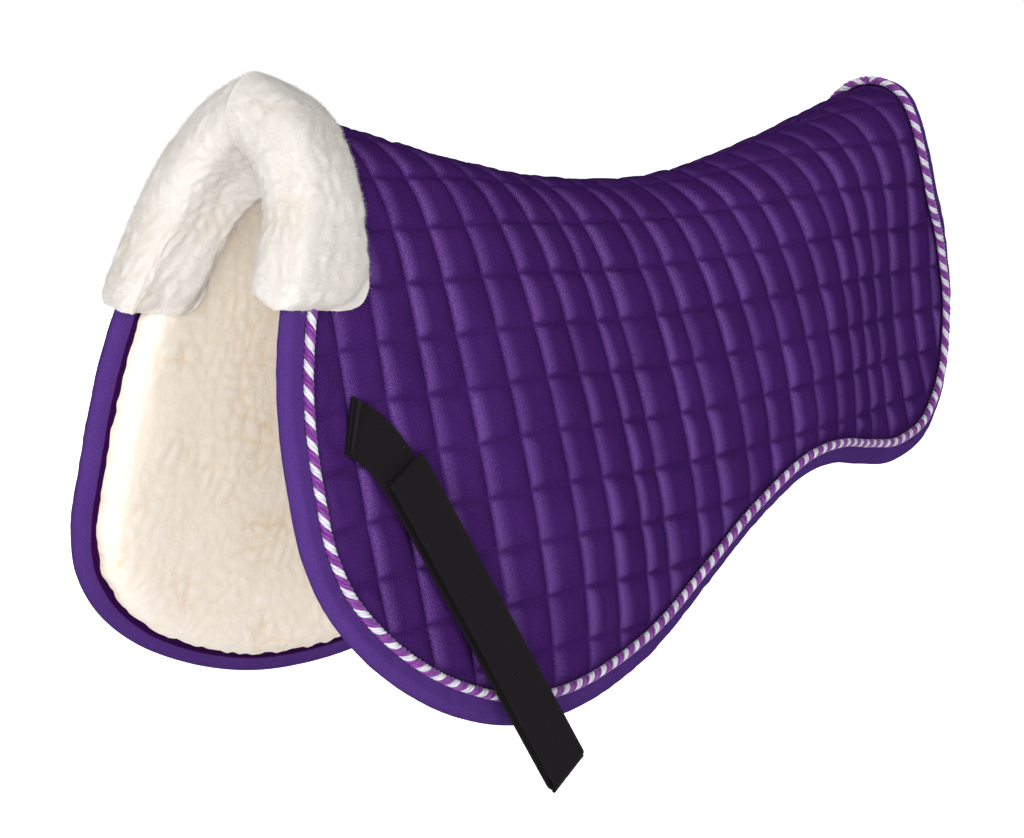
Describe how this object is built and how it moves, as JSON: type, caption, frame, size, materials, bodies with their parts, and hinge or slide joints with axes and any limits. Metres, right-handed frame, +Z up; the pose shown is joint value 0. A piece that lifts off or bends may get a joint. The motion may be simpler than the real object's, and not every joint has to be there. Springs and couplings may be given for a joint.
{
  "type": "half pad",
  "caption": "Saddle half pad with quilted cover, fleece lining, corded edge, fleece wither roll, open spine seam relief and a touch tape strap.",
  "frame": {"origin": "underside of the lining on the spine line at the lowest part of the back, where the pad rests on the horse", "axes": "+X along the spine towards the rump, +Y to the horse's right, +Z up"},
  "size_m": [0.6295, 0.2047, 0.3205],
  "materials": {
    "twill": "matte twill",
    "wadding": "soft",
    "sherpa": "fleece pile",
    "binding": "matte twill tape",
    "cord": "twisted two-colour cord",
    "foam": "foam",
    "roll": "fleece pile",
    "seam_tape": "matte",
    "webbing": "woven",
    "thread": "matte",
    "touch_tape": "hook and loop"
  },
  "bodies": {
    "spine": {"spine_seam_tape": "seam_tape"},
    "left_half": {"left_quilted_cover": "twill", "left_wadding": "wadding", "left_fleece_lining": "sherpa", "left_edge_binding": "binding", "left_piping_cord": "cord", "left_roll_padding": "foam", "left_wither_roll": "roll"},
    "right_half": {"right_quilted_cover": "twill", "right_wadding": "wadding", "right_fleece_lining": "sherpa", "right_edge_binding": "binding", "right_piping_cord": "cord", "right_roll_padding": "foam", "right_wither_roll": "roll"},
    "strap": {"strap_webbing": "webbing", "strap_bar_tack": "thread", "hook_tape": "touch_tape"},
    "tail": {"strap_tail": "webbing", "loop_tape": "touch_tape"}
  },
  "joints": [
    {"name": "left_half_open", "type": "hinge", "parent": "spine", "child": "left_half", "pos_m": [0, 0, 0.078], "axis": [-1, 0, 0], "range_deg": [0, 15]},
    {"name": "right_half_open", "type": "hinge", "parent": "spine", "child": "right_half", "pos_m": [0, 0, 0.078], "axis": [1, 0, 0], "range_deg": [0, 15]},
    {"name": "strap_swing", "type": "hinge", "parent": "left_half", "child": "strap", "pos_m": [-0.26964, -0.06487, -0.07003], "axis": [-0.3535, -0.1687, -0.9201], "range_deg": [0, 110]},
    {"name": "tail_open", "type": "hinge", "parent": "strap", "child": "tail", "pos_m": [-0.17067, -0.10834, -0.23714], "axis": [0.8923, 0.0609, 0.4474], "range_deg": [0, 160]}
  ]
}
